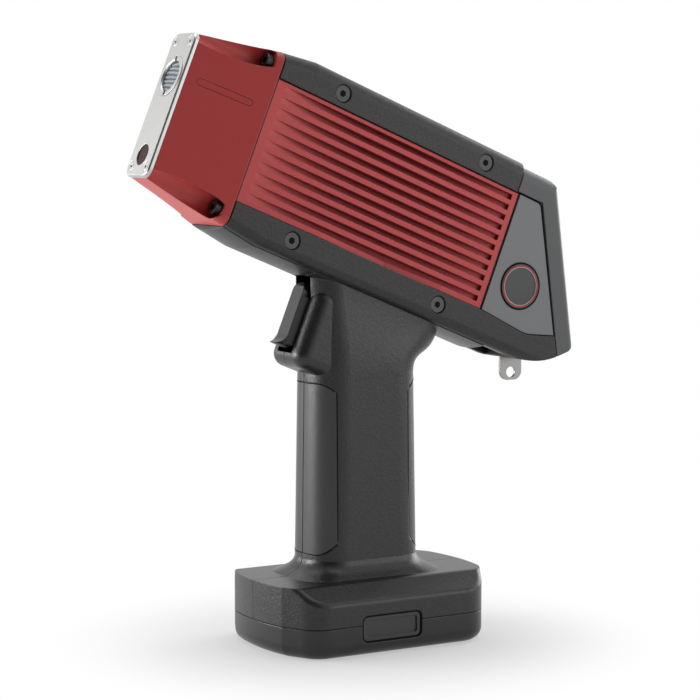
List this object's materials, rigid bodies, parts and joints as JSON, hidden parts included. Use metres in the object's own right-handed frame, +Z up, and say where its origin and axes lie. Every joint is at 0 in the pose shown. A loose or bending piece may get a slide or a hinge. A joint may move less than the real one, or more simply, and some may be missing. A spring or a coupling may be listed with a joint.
{
  "type": "handheld xrf analyzer",
  "caption": "Pistol-grip X-ray fluorescence analyzer: tilted head with red finned heat sinks, steel measuring nose, trigger, slide-out battery foot and a rear display.",
  "frame": {"origin": "middle of the flat underside of the battery foot that the instrument stands on", "axes": "+Z up along the handle, +X towards the display end, nose at -X, left side at -Y"},
  "size_m": [0.2122, 0.0746, 0.2653],
  "materials": {
    "aluminium": "machined",
    "black_screw": "black oxide",
    "board_green": "circuit board",
    "cell_sleeve": "shrink sleeve",
    "contact_brass": "plated",
    "film": "glossy film",
    "frame_black": "fine textured",
    "gasket": "matte",
    "glass": "polished",
    "grip_charcoal": "satin, fine grain",
    "key_plastic": "satin",
    "light_lens": "tinted",
    "nose_red": "dark red, satin",
    "panel_gray": "smooth satin",
    "potting": "potted",
    "sink_red": "red anodised, satin",
    "soft_pad": "soft grain",
    "steel": "brushed"
  },
  "bodies": {
    "housing": {"left_side_frame": "frame_black", "right_side_frame": "frame_black", "left_heat_sink": "sink_red", "right_heat_sink": "sink_red", "left_side_panel": "panel_gray", "right_side_panel": "panel_gray", "left_badge": "panel_gray", "right_badge": "panel_gray", "left_status_light": "light_lens", "right_status_light": "light_lens", "left_side_screws": "black_screw", "right_side_screws": "black_screw", "nose_housing": "nose_red", "nose_gasket": "gasket", "front_plate": "steel", "window_retainer": "steel", "window_film": "film", "window_grid": "steel", "camera_lens": "glass", "camera_module": "potting", "rear_housing": "frame_black", "display_glass": "glass", "display_module": "potting", "key_board": "board_green", "trigger_pin": "steel", "trigger_switch": "potting", "trigger_spring": "steel", "chassis": "aluminium", "xray_tube": "aluminium", "high_voltage_supply": "potting", "detector": "steel", "main_board": "board_green", "shutter_guide": "aluminium", "shutter_motor": "aluminium", "port_plate": "potting", "front_plate_screws": "steel", "nose_screws": "black_screw", "port_sockets": "steel", "lanyard_tab": "steel", "left_grip_shell": "grip_charcoal", "right_grip_shell": "grip_charcoal", "grip_screws": "black_screw", "left_front_pad": "soft_pad", "right_front_pad": "soft_pad", "left_rear_pad": "soft_pad", "right_rear_pad": "soft_pad"},
    "trigger": {"trigger": "grip_charcoal"},
    "battery": {"battery_case": "grip_charcoal", "battery_cells": "cell_sleeve", "battery_contacts": "contact_brass", "left_latch_spring": "steel", "right_latch_spring": "steel"},
    "left_latch": {"left_latch_key": "key_plastic"},
    "right_latch": {"right_latch_key": "key_plastic"},
    "shutter": {"shutter": "aluminium"},
    "back_key": {"back_key": "key_plastic"},
    "power_key": {"power_key": "key_plastic"},
    "menu_key": {"menu_key": "key_plastic"}
  },
  "joints": [
    {"name": "trigger_pull", "type": "hinge", "parent": "housing", "child": "trigger", "pos_m": [-0.01856, 0, 0.15139], "axis": [0, -1, 0], "range_deg": [0, 8], "stiffness_Nm_per_rad": 0.6, "springref_deg": -8.59, "deforming": ["trigger_spring"]},
    {"name": "battery_slide", "type": "slide", "parent": "housing", "child": "battery", "axis": [0, 0, -1], "range_m": [0, 0.084]},
    {"name": "left_latch_press", "type": "slide", "parent": "battery", "child": "left_latch", "axis": [0, 1, 0], "range_m": [0, 0.002], "stiffness_N_per_m": 1500, "springref_m": -0.001, "deforming": ["left_latch_spring"]},
    {"name": "right_latch_press", "type": "slide", "parent": "battery", "child": "right_latch", "axis": [0, -1, 0], "range_m": [0, 0.002], "stiffness_N_per_m": 1500, "springref_m": -0.001, "deforming": ["right_latch_spring"]},
    {"name": "shutter_slide", "type": "slide", "parent": "housing", "child": "shutter", "axis": [-0.3762, 0, -0.9265], "range_m": [0, 0.0155]},
    {"name": "back_key_press", "type": "slide", "parent": "housing", "child": "back_key", "axis": [-0.9923, 0, -0.1236], "range_m": [0, 0.0008], "stiffness_N_per_m": 1500, "springref_m": -0.0005},
    {"name": "power_key_press", "type": "slide", "parent": "housing", "child": "power_key", "axis": [-0.9923, 0, -0.1236], "range_m": [0, 0.0008], "stiffness_N_per_m": 1500, "springref_m": -0.0005},
    {"name": "menu_key_press", "type": "slide", "parent": "housing", "child": "menu_key", "axis": [-0.9923, 0, -0.1236], "range_m": [0, 0.0008], "stiffness_N_per_m": 1500, "springref_m": -0.0005}
  ]
}
